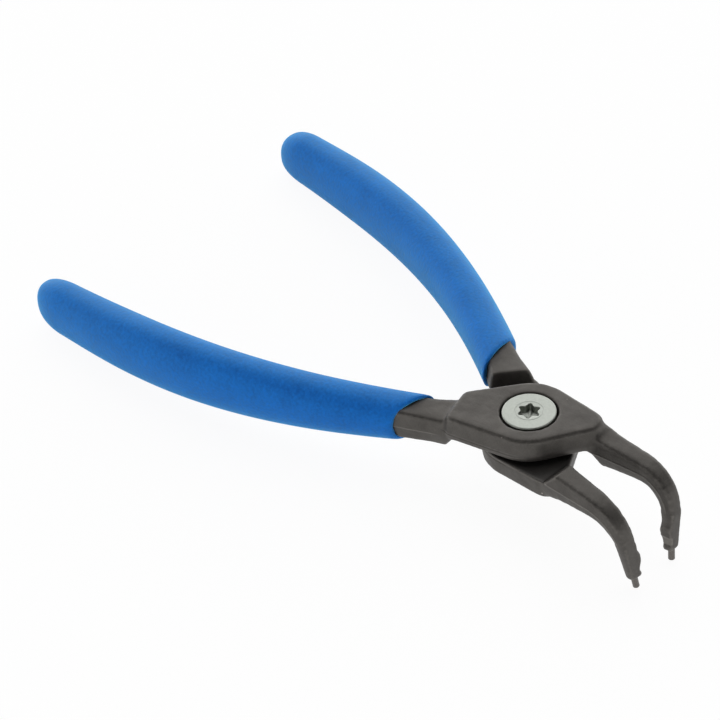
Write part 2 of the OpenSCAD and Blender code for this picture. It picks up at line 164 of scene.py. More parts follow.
# Dip-moulded soft PVC: matt, finely pebbled, with a soft glow at grazing angles
def dippedPlastic():
    look = {
        "dark": "#0b54b4", "light": "#1774dc",
        "pebble": 0.6, "mottle": 6.0,              # mm, the pebble is drawn coarser than the real one
        "pebbleShare": 0.65,
        "gloss": "#4ec4ff", "glossLevel": 0.8,     # reflections, tinted by the plastic
        "glow": "#6ed2ff", "glowWeight": 1.0, "glowRough": 0.54,
        "rough": (0.5, 0.66), "bumpDepth": 0.1, "bumpStrength": 0.6,
    }
    material, tree = newMaterial("dippedSoftPlastic")
    place = addNode(tree, "ShaderNodeTexCoord").outputs["Object"]
    pebble = addNode(tree, "ShaderNodeTexNoise", {
        "Vector": place, "Scale": perMetre(look["pebble"]), "Detail": 2.0, "Roughness": 0.5})
    mottle = addNode(tree, "ShaderNodeTexNoise", {
        "Vector": place, "Scale": perMetre(look["mottle"]), "Detail": 3.0})
    blend = addNode(tree, "ShaderNodeMix", {
        "Factor": look["pebbleShare"], "A": mottle, "B": pebble}, data_type="FLOAT")
    tone = addNode(tree, "ShaderNodeMapRange", {"Value": blend, **noiseSpan})
    colour = addNode(tree, "ShaderNodeMix", {
        "Factor": tone, "A": linearColour(look["dark"]),
        "B": linearColour(look["light"])}, data_type="RGBA")
    rough = addNode(tree, "ShaderNodeMapRange", {
        "Value": pebble, **noiseSpan, "To Min": look["rough"][0], "To Max": look["rough"][1]})
    bump = addNode(tree, "ShaderNodeBump", {
        "Height": pebble, "Strength": look["bumpStrength"], "Distance": look["bumpDepth"] * metresPerMm})
    shader = addNode(tree, "ShaderNodeBsdfPrincipled", {
        "Base Color": colour, "Roughness": rough, "Normal": bump,
        "Specular IOR Level": look["glossLevel"], "Specular Tint": linearColour(look["gloss"]),
        "Sheen Weight": look["glowWeight"], "Sheen Roughness": look["glowRough"],
        "Sheen Tint": linearColour(look["glow"])})
    addNode(tree, "ShaderNodeOutputMaterial", {"Surface": shader})
    return material


# Bright zinc plate over a turned head: pale, slightly cloudy, with faint rings from the lathe
def zincPlate():
    look = {
        # the darkest colour here is painted shade inside the six-lobe recess
        "dark": "#91958f", "light": "#b7bbb4", "recessShade": "#55584f",
        "cloud": 0.5, "ringStep": 0.173, "ringWander": 0.6,        # mm, and how uneven the rings are
        "recessTop": 4.9, "recessFade": 0.3, "recessReach": 2.4,   # mm from the lap plane and the axis
        "recessShadeShare": 0.05, "rough": (0.36, 0.5), "bumpDepth": 0.006, "bumpStrength": 0.25,
    }
    waveSpacing = 2 * math.pi / 20   # of a wave texture's rings at scale 1
    material, tree = newMaterial("zincPlatedSteel")
    place = addNode(tree, "ShaderNodeTexCoord").outputs["Object"]
    centred = addNode(tree, "ShaderNodeMapping", {
        "Vector": place, "Location": pivotPlace, "Rotation": (0.0, -toolLean, 0.0)}, vector_type="TEXTURE")
    cloud = addNode(tree, "ShaderNodeTexNoise", {
        "Vector": place, "Scale": perMetre(look["cloud"]), "Detail": 4.0, "Roughness": 0.65})
    rings = addNode(tree, "ShaderNodeTexWave", {
        "Vector": centred, "Scale": perMetre(look["ringStep"]) * waveSpacing,
        "Distortion": look["ringWander"], "Detail": 1.0}, wave_type="RINGS", rings_direction="Z")
    colour = addNode(tree, "ShaderNodeMix", {
        "Factor": cloud, "A": linearColour(look["dark"]),
        "B": linearColour(look["light"])}, data_type="RGBA")
    at = addNode(tree, "ShaderNodeSeparateXYZ", {0: centred}).outputs
    flat = addNode(tree, "ShaderNodeCombineXYZ", {"X": at["X"], "Y": at["Y"]})
    reach = addNode(tree, "ShaderNodeVectorMath", {0: flat}, operation="LENGTH")
    # inside the recess, below its top, the colour is darkened: painted shade
    near = addNode(tree, "ShaderNodeMath", {
        0: reach, 1: look["recessReach"] * metresPerMm}, operation="LESS_THAN")
    sunk = addNode(tree, "ShaderNodeMapRange", {
        "Value": at["Z"], "From Min": look["recessTop"] * metresPerMm,
        "From Max": (look["recessTop"] - look["recessFade"]) * metresPerMm, "To Max": look["recessShadeShare"]})
    recessShade = addNode(tree, "ShaderNodeMath", {0: near, 1: sunk}, operation="MULTIPLY")
    plate = addNode(tree, "ShaderNodeMix", {
        "Factor": recessShade, "A": colour, "B": linearColour(look["recessShade"])}, data_type="RGBA")
    rough = addNode(tree, "ShaderNodeMapRange", {
        "Value": cloud, **noiseSpan, "To Min": look["rough"][0], "To Max": look["rough"][1]})
    bump = addNode(tree, "ShaderNodeBump", {
        "Height": rings.outputs["Fac"], "Strength": look["bumpStrength"],
        "Distance": look["bumpDepth"] * metresPerMm})
    shader = addNode(tree, "ShaderNodeBsdfPrincipled", {
        "Base Color": plate, "Roughness": rough, "Normal": bump, "Metallic": 1.0})
    addNode(tree, "ShaderNodeOutputMaterial", {"Surface": shader})
    return material


# Drawn and hardened pin steel, browned with the forging but smoother
def brownedPin():
    look = {
        "dark": "#565250", "light": "#76726d", "rough": (0.34, 0.48), "metallic": 0.7,
        "drawLine": (0.12, 0.12, 1.5),   # mm, drawn coarser than the real lines along the pin
    }
    material, tree = newMaterial("brownedPinSteel")
    place = addNode(tree, "ShaderNodeTexCoord").outputs["Object"]
    stretched = addNode(tree, "ShaderNodeMapping", {
        "Vector": place, "Scale": tuple(perMetre(step) for step in look["drawLine"])})
    lines = addNode(tree, "ShaderNodeTexNoise", {"Vector": stretched, "Scale": 1.0, "Detail": 2.0})
    colour = addNode(tree, "ShaderNodeMix", {
        "Factor": lines, "A": linearColour(look["dark"]),
        "B": linearColour(look["light"])}, data_type="RGBA")
    rough = addNode(tree, "ShaderNodeMapRange", {
        "Value": lines, **noiseSpan, "To Min": look["rough"][0], "To Max": look["rough"][1]})
    shader = addNode(tree, "ShaderNodeBsdfPrincipled", {
        "Base Color": colour, "Roughness": rough, "Metallic": look["metallic"]})
    addNode(tree, "ShaderNodeOutputMaterial", {"Surface": shader})
    return material


forgedSteel = phosphatedForging()
softPlastic = dippedPlastic()
brightZinc = zincPlate()
pinSteel = brownedPin()
print("materials:", len(bpy.data.materials))


def newTree(name, inputs):
    # a Geometry Nodes group with the named inputs, and the identifiers that a modifier sets them by
    tree = bpy.data.node_groups.new(name, "GeometryNodeTree")
    tree.interface.new_socket("Geometry", in_out="OUTPUT", socket_type="NodeSocketGeometry")
    tree.interface.new_socket("Geometry", in_out="INPUT", socket_type="NodeSocketGeometry")
    known = {}
    for label, kind in inputs.items():
        socket = tree.interface.new_socket(label, in_out="INPUT", socket_type="NodeSocket" + kind)
        known[label] = socket.identifier
    return tree, known


def endTree(tree, geometry, material):
    real = addNode(tree, "GeometryNodeRealizeInstances", {"Geometry": geometry})
    shaded = addNode(tree, "GeometryNodeSetShadeSmooth", {"Geometry": real})
    finished = addNode(tree, "GeometryNodeSetMaterial", {"Geometry": shaded, "Material": material})
    addNode(tree, "NodeGroupOutput", {0: finished})


def runTree(mesh, tree, known, values):
    # evaluates the tree on a mesh and gives the result back as a plain mesh
    worker = bpy.data.objects.new("worker", mesh)
    scene.collection.objects.link(worker)
    modifier = worker.modifiers.new("shape", "NODES")
    modifier.node_group = tree
    for label, value in values.items():
        modifier[known[label]] = value
    graph = bpy.context.evaluated_depsgraph_get()
    made = bpy.data.meshes.new_from_object(worker.evaluated_get(graph), depsgraph=graph)
    made.name = mesh.name
    worker.modifiers.clear()
    bpy.data.objects.remove(worker)
    return made


def pointOutwards(mesh):
    # merges doubled points, turns every face outwards and shades it smooth
    mergeReach = 1e-5
    shape = bmesh.new()
    shape.from_mesh(mesh)
    bmesh.ops.remove_doubles(shape, verts=shape.verts, dist=mergeReach)
    bmesh.ops.recalc_face_normals(shape, faces=shape.faces)
    shape.to_mesh(mesh)
    shape.free()
    mesh.polygons.foreach_set("use_smooth", [True] * len(mesh.polygons))
    mesh.update()


def newPiece(name, mesh, body, replaced):
    piece = bpy.data.objects.new(name, mesh)
    scene.collection.objects.link(piece)
    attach(piece, body)
    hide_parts(replaced)
    print("piece:", name, len(mesh.polygons), "faces")


# Forged halves: a copy of the solid gets the blends and soft edges of a forging. All lengths in mm
forging = {
    "voxel": 0.17, "bandSpare": 4,                      # grid step, and steps beyond the widest blend
    "bareReach": (-30.0, 60.0),                         # stretch along the tool that shows
    "hiddenReach": (-130.0, -28.0),                     # the rest, inside the grip
    "rootRadius": 1.7, "rootReach": (5.0, 19.0),        # where the jaw runs out of the plate
    "stepRadius": 0.7, "stepReach": (-27.0, 5.0),       # where the handle steps up to the plate
    "edgeRadius": 0.25,
    "jawRadius": 1.0, "jawReach": (15.5, 60.0),         # the jaws are rounder, down to the ground tips
    "smoothPasses": 5,
    # parting line: height and half width, and where it begins and ends
    "ridge": (0.1, 0.22), "ridgeFade": (-13.0, -15.0),                                   # along the handle
    "seam": (-0.1, 0.25), "seamLevel": 1.3, "seamFades": ((-14.0, -12.0), (6.0, 2.0)),   # round the plate
    "jawRidge": (0.09, 0.25), "jawFade": (11.0, 14.0), "tipFade": (7.0, 5.0),            # along the jaw
    "bendStart": 22.88, "bendRadius": 7.4,
    "waveStep": 2.2, "waveDepth": 0.09, "waveSpan": (0.25, 0.75),   # hammer-soft unevenness of the skin
    "plateReach": (14.0, 17.0), "lapClear": (0.3, 1.0),             # the lap faces stay true within these
    "lapReach": 0.12, "lapFacing": -0.85,                           # what counts as a machined face
    "reliefPasses": 6, "reliefDepth": 0.07,
    "counterboreFloor": 2.9, "cutDepth": 30.0, "boreAround": 128,
    # blocks of this size pick out the places to blend and round, from lapSide and jawSide upwards
    "block": 100.0,
    "upper": {"bore": 3.53, "counterbore": 5.55, "lapFace": 0.0, "bendMiddle": -7.8,
              "lapSide": -20.0, "jawSide": -6.5},
    "lower": {"bore": 2.51, "counterbore": 2.51, "lapFace": 0.6, "bendMiddle": 7.8,
              "lapSide": 1.0, "jawSide": -93.5},
}
# hollow across each pad, up from the pin's root
pad = {
    "gap": 1.0, "hollowUp": 2.35, "hollowRadius": 1.7, "hollowDepth": 0.5,
    "hollowLength": 10.0, "around": 96,
}
# tip pin: a tapered shank in the jaw, and a straight end
pin = {
    "inner": 0.45, "outer": 0.65, "inJaw": 3.6, "taperOut": 0.1, "shankEdge": 0.06,
    "tipSpare": 0.15, "endRound": 0.18, "endTurns": (0, 18, 36, 54, 72, 90), "endFlat": 1.8,
    "seatGap": 0.01, "plugGap": 0.06, "seatAround": 64, "around": 48,
}


def forgeTree():
    tree, known = newTree("forgedBlends", {
        "Voxel": "Float", "Root radius": "Float", "Lap side": "Float", "Step radius": "Float",
        "Edge radius": "Float", "Passes": "Int", "Bore": "Float", "Counterbore": "Float",
        "Counterbore floor": "Float", "Lap face": "Float", "Jaw radius": "Float", "Jaw side": "Float",
        "Bend middle": "Float", "Pin place": "Vector", "Pin turn": "Vector", "Hollow place": "Vector"})
    given = addNode(tree, "NodeGroupInput").outputs
    wide, cut = forging["block"], forging["cutDepth"]
    band = math.ceil(forging["rootRadius"] / forging["voxel"]) + forging["bandSpare"]
    gridSize = {"Voxel Size": given["Voxel"], "Band Width": band}

    def slab(reach, bottom):
        # a block over a stretch of the tool's length, from a height upwards
        block = addNode(tree, "GeometryNodeMeshCube", {"Size": (reach[1] - reach[0], wide, wide)})
        middle = addNode(tree, "ShaderNodeMath", {0: bottom, 1: wide / 2}, operation="ADD")
        centre = addNode(tree, "ShaderNodeCombineXYZ", {"X": sum(reach) / 2, "Z": middle})
        return addNode(tree, "GeometryNodeTransform", {"Geometry": block, "Translation": centre})

    def boreCut(radius, depth, height):
        post = addNode(tree, "GeometryNodeMeshCylinder", {
            "Vertices": forging["boreAround"], "Radius": radius, "Depth": depth})
        centre = addNode(tree, "ShaderNodeCombineXYZ", {"Z": height})
        return addNode(tree, "GeometryNodeTransform", {"Geometry": post, "Translation": centre})

    def pinSeat(gap):
        shank = addNode(tree, "GeometryNodeMeshCone", {
            "Vertices": pin["seatAround"], "Radius Bottom": pin["inner"] + gap,
            "Radius Top": pin["outer"] + gap, "Depth": pin["inJaw"] + pin["taperOut"]})
        sunk = addNode(tree, "GeometryNodeTransform", {
            "Geometry": shank, "Translation": (0.0, 0.0, -pin["inJaw"])})
        return addNode(tree, "GeometryNodeTransform", {
            "Geometry": sunk, "Translation": given["Pin place"], "Rotation": given["Pin turn"]})

    def outAndBack(grid, distance):
        # the surface moved by a distance and back again, which rounds the corners tighter than that
        away = addNode(tree, "GeometryNodeGridToMesh", {"Grid": grid, "Threshold": distance})
        again = addNode(tree, "GeometryNodeMeshToSDFGrid", {"Mesh": away, **gridSize})
        back = addNode(tree, "ShaderNodeMath", {0: distance, 1: -1.0}, operation="MULTIPLY")
        return addNode(tree, "GeometryNodeGridToMesh", {"Grid": again, "Threshold": back})

    # the pin's hole is filled while the blends are made, and cut again at the end
    whole = addNode(tree, "GeometryNodeMeshBoolean", {
        1: [given["Geometry"], pinSeat(pin["plugGap"])]}, operation="UNION", solver="MANIFOLD")
    shown = addNode(tree, "GeometryNodeMeshBoolean", {
        1: [whole, slab(forging["bareReach"], -wide / 2)]}, operation="INTERSECT", solver="MANIFOLD")
    hidden = addNode(tree, "GeometryNodeMeshBoolean", {
        1: [whole, slab(forging["hiddenReach"], -wide / 2)]}, operation="INTERSECT", solver="MANIFOLD")
    bare = addNode(tree, "GeometryNodeMeshToSDFGrid", {"Mesh": shown, **gridSize})

    # hollow corners are filled, each radius in its own stretch
    grids = [bare]
    for radius, reach in (("Root radius", "rootReach"), ("Step radius", "stepReach")):
        filled = addNode(tree, "GeometryNodeMeshBoolean", {
            1: [outAndBack(bare, given[radius]), slab(forging[reach], given["Lap side"])]},
            operation="INTERSECT", solver="MANIFOLD")
        grids.append(addNode(tree, "GeometryNodeMeshToSDFGrid", {"Mesh": filled, **gridSize}))
    blended = addNode(tree, "GeometryNodeSDFGridBoolean", {1: grids}, operation="UNION")

    # outer corners are rounded off, the jaw's by more
    eased = {}
    for radius in ("Edge radius", "Jaw radius"):
        inwards = addNode(tree, "ShaderNodeMath", {0: given[radius], 1: -1.0}, operation="MULTIPLY")
        eased[radius] = outAndBack(blended, inwards)
    jawBlock = slab(forging["jawReach"], given["Jaw side"])
    body = addNode(tree, "GeometryNodeMeshBoolean", {
        0: eased["Edge radius"], 1: jawBlock}, operation="DIFFERENCE", solver="MANIFOLD")
    jaw = addNode(tree, "GeometryNodeMeshBoolean", {
        1: [eased["Jaw radius"], jawBlock]}, operation="INTERSECT", solver="MANIFOLD")
    grids = [addNode(tree, "GeometryNodeMeshToSDFGrid", {"Mesh": part, **gridSize}) for part in (body, jaw)]
    joined = addNode(tree, "GeometryNodeSDFGridBoolean", {1: grids}, operation="UNION")
    rounded = addNode(tree, "GeometryNodeGridToMesh", {"Grid": joined, "Threshold": 0.0})

    place = addNode(tree, "GeometryNodeInputPosition")
    even = addNode(tree, "GeometryNodeBlurAttribute", {
        "Value": place, "Iterations": given["Passes"]}, data_type="FLOAT_VECTOR")
    smooth = addNode(tree, "GeometryNodeSetPosition", {"Geometry": rounded, "Position": even})
    skin = forgedSkin(tree, smooth, place, given["Lap face"])
    ridged = partingRidge(tree, skin, place, given["Bend middle"])
    full = addNode(tree, "GeometryNodeMeshBoolean", {
        1: [ridged, hidden]}, operation="UNION", solver="MANIFOLD")

    roller = addNode(tree, "GeometryNodeMeshCylinder", {
        "Vertices": pad["around"], "Radius": pad["hollowRadius"], "Depth": pad["hollowLength"]})
    hollow = addNode(tree, "GeometryNodeTransform", {
        "Geometry": roller, "Translation": given["Hollow place"], "Rotation": (0.0, math.pi / 2, 0.0)})
    sink = addNode(tree, "ShaderNodeMath", {0: given["Counterbore floor"], 1: cut / 2}, operation="ADD")
    cutters = [boreCut(given["Bore"], 2 * cut, 0.0), boreCut(given["Counterbore"], cut, sink),
               pinSeat(pin["seatGap"]), hollow]
    bored = addNode(tree, "GeometryNodeMeshBoolean", {
        0: full, 1: cutters}, operation="DIFFERENCE", solver="MANIFOLD")
    endTree(tree, bored, forgedSteel)
    return tree, known


def forgedSkin(tree, mesh, place, lapFace):
    # shallow waves all over, apart from the lap faces
    waves = addNode(tree, "ShaderNodeTexNoise", {
        "Vector": place, "Scale": 1 / forging["waveStep"], "Detail": 2.0})
    at = addNode(tree, "ShaderNodeSeparateXYZ", {0: place}).outputs
    along = addNode(tree, "ShaderNodeMath", {0: at["X"]}, operation="ABSOLUTE")
    outside = addNode(tree, "ShaderNodeMapRange", {
        "Value": along, "From Min": forging["plateReach"][0], "From Max": forging["plateReach"][1]})
    off = addNode(tree, "ShaderNodeMath", {0: at["Z"], 1: lapFace}, operation="SUBTRACT")
    above = addNode(tree, "ShaderNodeMapRange", {
        "Value": off, "From Min": forging["lapClear"][0], "From Max": forging["lapClear"][1]})
    free = addNode(tree, "ShaderNodeMath", {0: outside, 1: above}, operation="MAXIMUM")
    depth = addNode(tree, "ShaderNodeMapRange", {
        "Value": waves, "From Min": forging["waveSpan"][0], "From Max": forging["waveSpan"][1],
        "To Min": -forging["waveDepth"] / 2, "To Max": forging["waveDepth"] / 2})
    lift = addNode(tree, "ShaderNodeMath", {0: depth, 1: free}, operation="MULTIPLY")
    return pushed(tree, mesh, lift)


def pushed(tree, mesh, lift):
    # every point moved along its normal
    normal = addNode(tree, "GeometryNodeInputNormal")
    push = addNode(tree, "ShaderNodeVectorMath", {0: normal, "Scale": lift}, operation="SCALE")
    return addNode(tree, "GeometryNodeSetPosition", {"Geometry": mesh, "Offset": push})


def partingRidge(tree, mesh, place, bendMiddle):
    # a low rounded ridge round the handle and the jaw, where the dies met, and a fine line round the plate
    at = addNode(tree, "ShaderNodeSeparateXYZ", {0: place}).outputs

    def line(size, away, fades):
        # raised where away is 0, and faded out at its ends
        height, halfWidth = size
        share = addNode(tree, "ShaderNodeMath", {0: away, 1: halfWidth}, operation="DIVIDE")
        squared = addNode(tree, "ShaderNodeMath", {0: share, 1: share}, operation="MULTIPLY")
        lift = addNode(tree, "ShaderNodeMapRange", {
            "Value": squared, "From Min": 1.0, "From Max": 0.0, "To Max": height},
            interpolation_type="SMOOTHSTEP")
        for value, (start, end) in fades:
            fade = addNode(tree, "ShaderNodeMapRange", {"Value": value, "From Min": start, "From Max": end})
            lift = addNode(tree, "ShaderNodeMath", {0: lift, 1: fade}, operation="MULTIPLY")
        return lift

    onHandle = line(forging["ridge"], at["Z"], [(at["X"], forging["ridgeFade"])])
    overSeam = addNode(tree, "ShaderNodeMath", {0: at["Z"], 1: forging["seamLevel"]}, operation="SUBTRACT")
    onPlate = line(forging["seam"], overSeam, [(at["X"], fade) for fade in forging["seamFades"]])
    # distance from the middle of the jaw, which runs straight and then round the bend
    past = addNode(tree, "ShaderNodeMath", {0: at["X"], 1: forging["bendStart"]}, operation="SUBTRACT")
    bent = addNode(tree, "ShaderNodeMath", {0: past, 1: 0.0}, operation="MAXIMUM")
    below = addNode(tree, "ShaderNodeMath", {0: at["Z"], 1: bendMiddle}, operation="SUBTRACT")
    spoke = addNode(tree, "ShaderNodeCombineXYZ", {"X": bent, "Z": below})
    reach = addNode(tree, "ShaderNodeVectorMath", {0: spoke}, operation="LENGTH")
    offMiddle = addNode(tree, "ShaderNodeMath", {0: reach, 1: forging["bendRadius"]}, operation="SUBTRACT")
    drop = addNode(tree, "ShaderNodeMath", {0: at["Z"]}, operation="ABSOLUTE")
    lift = line(forging["jawRidge"], offMiddle, [(at["X"], forging["jawFade"]), (drop, forging["tipFade"])])
    for other in (onHandle, onPlate):
        lift = addNode(tree, "ShaderNodeMath", {0: lift, 1: other}, operation="ADD")
    return pushed(tree, mesh, lift)


def finishTree():
    # marks the machined lap face, and how far each point stands out (edges) or lies back (hollows)
    tree, known = newTree("machinedFaces", {"Lap face": "Float"})
    given = addNode(tree, "NodeGroupInput").outputs
    place = addNode(tree, "GeometryNodeInputPosition")
    normal = addNode(tree, "GeometryNodeInputNormal")
    height = addNode(tree, "ShaderNodeSeparateXYZ", {0: place}).outputs["Z"]
    facing = addNode(tree, "ShaderNodeSeparateXYZ", {0: normal}).outputs["Z"]
    off = addNode(tree, "ShaderNodeMath", {0: height, 1: given["Lap face"]}, operation="SUBTRACT")
    near = addNode(tree, "ShaderNodeMath", {0: off, 1: 0.0, 2: forging["lapReach"]}, operation="COMPARE")
    flat = addNode(tree, "ShaderNodeMath", {0: facing, 1: forging["lapFacing"]}, operation="LESS_THAN")
    machined = addNode(tree, "ShaderNodeMath", {0: near, 1: flat}, operation="MULTIPLY")
    even = addNode(tree, "GeometryNodeBlurAttribute", {
        "Value": place, "Iterations": forging["reliefPasses"]}, data_type="FLOAT_VECTOR")
    rise = addNode(tree, "ShaderNodeVectorMath", {0: place, 1: even}, operation="SUBTRACT")
    out = addNode(tree, "ShaderNodeVectorMath", {0: rise, 1: normal}, operation="DOT_PRODUCT")
    relief = addNode(tree, "ShaderNodeMapRange", {
        "Value": out, "From Min": -forging["reliefDepth"], "From Max": forging["reliefDepth"],
        "To Min": -1.0, "To Max": 1.0})
    mesh = given["Geometry"]
    for label, value in (("machined", machined), ("relief", relief)):
        mesh = addNode(tree, "GeometryNodeStoreNamedAttribute", {
            "Geometry": mesh, "Name": label, "Value": value}, data_type="FLOAT", domain="POINT")
    endTree(tree, mesh, forgedSteel)
    return tree, known


# The record's mounts say where each pin leaves its jaw
mounts = {mount["name"]: mount for mount in frame["record"]["mounts"]}


def pinRoot(side):
    mount = mounts[side + "_tip"]
    way = Vector(mount["axis"]).normalized()
    offset = (mount["dims"]["length_mm"] / 2 + pin["taperOut"]) * metresPerMm
    return Vector(mount["pos_m"]) - way * offset, way


upward = Vector((0, 0, 1))
blendTree, blendInputs = forgeTree()
machinedTree, machinedInputs = finishTree()
for side in ("upper", "lower"):
    place = halfPlace[side]
    inward = place.inverted()
    root, way = pinRoot(side)
    pinWay = (inward.to_3x3() @ way).normalized()
    pinPlace = inward @ root
    hollowPlace = pinPlace - pinWay * pad["hollowUp"]
    hollowPlace.y = pad["gap"] / 2 + pad["hollowDepth"] - pad["hollowRadius"]
    solid = frame["nodes"][side + "_half"].data.copy()
    pointOutwards(solid)
    solid.transform(inward)
    solid.name = side + "Forging"
    form = forging[side]
    forged = runTree(solid, blendTree, blendInputs, {
        "Voxel": forging["voxel"], "Root radius": forging["rootRadius"], "Lap side": form["lapSide"],
        "Step radius": forging["stepRadius"], "Edge radius": forging["edgeRadius"],
        "Passes": forging["smoothPasses"], "Bore": form["bore"], "Counterbore": form["counterbore"],
        "Counterbore floor": forging["counterboreFloor"], "Lap face": form["lapFace"],
        "Jaw radius": forging["jawRadius"], "Jaw side": form["jawSide"], "Bend middle": form["bendMiddle"],
        "Pin place": pinPlace, "Pin turn": upward.rotation_difference(pinWay).to_euler(),
        "Hollow place": hollowPlace})
    forged = runTree(forged, machinedTree, machinedInputs, {"Lap face": form["lapFace"]})
    forged.transform(place)
    newPiece(side + "Half", forged, side + "_lever", side + "_half")

# Dipped grips: a soft section swept along the handle, rolled in at the mouth over the steel tang
grip = {
    "curve": ((-10.2, -4.6), (-52.12, -25.5), (-75.12, -24.2), (-102.2, -22.7)),   # plan of the handle, mm
    # places along that curve, from 0 to 1, and how long the changes of size take there
    "mouth": {"upper": 0.086, "lower": 0.074}, "flareStart": 0.082, "flareRun": 0.5, "belly": 0.6,
    "broad": 0.7, "broadRun": 0.4, "bellyRun": 0.48, "steelEnd": 0.931, "capStart": 0.94,
    "innerStart": 0.012, "outerStart": 0.009,                 # past the mouth
    "width": (8.8, 9.5, 8.1), "height": (8.6, 13.1, 11.0),    # at mouth, middle and end
    "slant": 40.0, "slantFade": 0.2,                          # of the mouth, in degrees
    "wall": 1.1, "lip": 0.5,
    # rolled lip from inside to outside: share of the wall, and how far back as a share of the lip
    "lipRings": ((0.97, 0.8), (0.86, 0.3), (0.65, 0.04), (0.45, 0.0), (0.27, 0.1), (0.12, 0.35),
                 (0.03, 0.7)),
    "lipSteel": 0.7,                                          # rings deeper than this follow the tang
    "capLength": 7.8, "capRise": 1.6, "capPower": 0.56, "capTurn": (3, 89), "softPower": 0.86,
    # one quarter of the tang's section, from the parting line to its flat top
    "tangQuarter": ((1, 0.05), (0.955, 0.33), (0.905, 0.62), (0.84, 0.86), (0.72, 0.97), (0.5, 1)),
    "around": 96, "innerRings": 40, "outerRings": 150, "capRings": 30,
}


def smoothStep(x):
    u = np.clip(x, 0.0, 1.0)
    return u * u * (3 - 2 * u)


def handleAt(t):
    # place and direction on the handle's curve
    a, b, c, d = (np.array(p) for p in grip["curve"])
    at = (1 - t) ** 3 * a + 3 * (1 - t) ** 2 * t * b + 3 * (1 - t) * t * t * c + t ** 3 * d
    way = (1 - t) ** 2 * (b - a) + 2 * (1 - t) * t * (c - b) + t * t * (d - c)
    return at, way / np.linalg.norm(way)


def gripHalfSizes(t):
    mouthW, midW, endW = grip["width"]
    mouthH, midH, endH = grip["height"]
    width = mouthW + (midW - mouthW) * smoothStep((t - grip["flareStart"]) / grip["flareRun"])
    if t > grip["broad"]:
        width = midW + (endW - midW) * smoothStep((t - grip["broad"]) / grip["broadRun"])
    rise = 1 - (1 - max(0.0, t - grip["flareStart"]) / (grip["belly"] - grip["flareStart"])) ** 2
    height = mouthH + (midH - mouthH) * rise
    if t > grip["belly"]:
        height = midH + (endH - midH) * smoothStep((t - grip["belly"]) / grip["bellyRun"])
    return width / 2, height / 2


def gripStation(t, inset, ahead, mouth, steel, shrink=1.0):
    # one ring of the sleeve: where it sits, how it is turned and how big it is
    halfW, halfH = gripHalfSizes(t)
    at, way = handleAt(t)
    centre = at + ahead * way
    shear = math.tan(math.radians(grip["slant"])) * (1 - smoothStep((t - mouth) / grip["slantFade"]))
    return {
        "centre": (centre[0], centre[1], grip["capRise"] * (1 - shrink)),
        "along": (way[0], way[1], 0.0),
        "halfWidth": (halfW - inset) * shrink, "halfHeight": (halfH - inset) * shrink,
        "slant": shear, "steel": float(steel),
    }


def gripStations(mouth):
    # from the end of the hollow out to the mouth, round its lip and along the skin to the closed end
    wall, last = grip["wall"], grip["capStart"]
    inner = np.linspace(grip["steelEnd"], mouth + grip["innerStart"], grip["innerRings"])
    outer = np.linspace(mouth + grip["outerStart"], last, grip["outerRings"])
    stations = [gripStation(t, wall, 0.0, mouth, True) for t in inner]
    stations += [gripStation(mouth, wall * share, grip["lip"] * back, mouth, share > grip["lipSteel"])
                 for share, back in grip["lipRings"]]
    stations += [gripStation(t, 0.0, 0.0, mouth, False) for t in outer]
    for angle in np.radians(np.linspace(*grip["capTurn"], grip["capRings"])):
        stations.append(gripStation(last, 0.0, grip["capLength"] * math.sin(angle), mouth, False,
                                    shrink=math.cos(angle) ** grip["capPower"]))
    return stations


def gripProfile():
    # the soft section and the tang's section, point by point at like angles
    angles = (np.arange(grip["around"]) + 0.5) * 2 * math.pi / grip["around"]
    power = grip["softPower"]
    softX = np.sign(np.cos(angles)) * np.abs(np.cos(angles)) ** power
    softY = np.sign(np.sin(angles)) * np.abs(np.sin(angles)) ** power
    quarter = np.array(grip["tangQuarter"], float)
    corners = np.vstack([quarter, quarter[::-1] * (-1, 1), quarter * (-1, -1), quarter[::-1] * (1, -1)])
    turn = np.unwrap(np.arctan2(corners[:, 1], corners[:, 0]))
    reach = np.linalg.norm(corners, axis=1)
    heading = np.arctan2(softY, softX) % (2 * math.pi)
    radius = np.interp(heading, turn, reach, period=2 * math.pi)
    return {"softX": softX, "softY": softY,
            "steelX": radius * np.cos(heading), "steelY": radius * np.sin(heading)}


def lineMesh(name, points, closed, fields):
    # a row of points joined by edges, with the fields stored on the points
    count = len(points)
    edges = [(i, (i + 1) % count) for i in range(count if closed else count - 1)]
    mesh = bpy.data.meshes.new(name)
    mesh.from_pydata(points, edges, [])
    for label, values in fields.items():
        flat = np.array(values, np.float32)
        kind = "FLOAT_VECTOR" if flat.ndim == 2 else "FLOAT"
        stored = mesh.attributes.new(label, kind, "POINT")
        stored.data.foreach_set("vector" if flat.ndim == 2 else "value", flat.ravel())
    return mesh


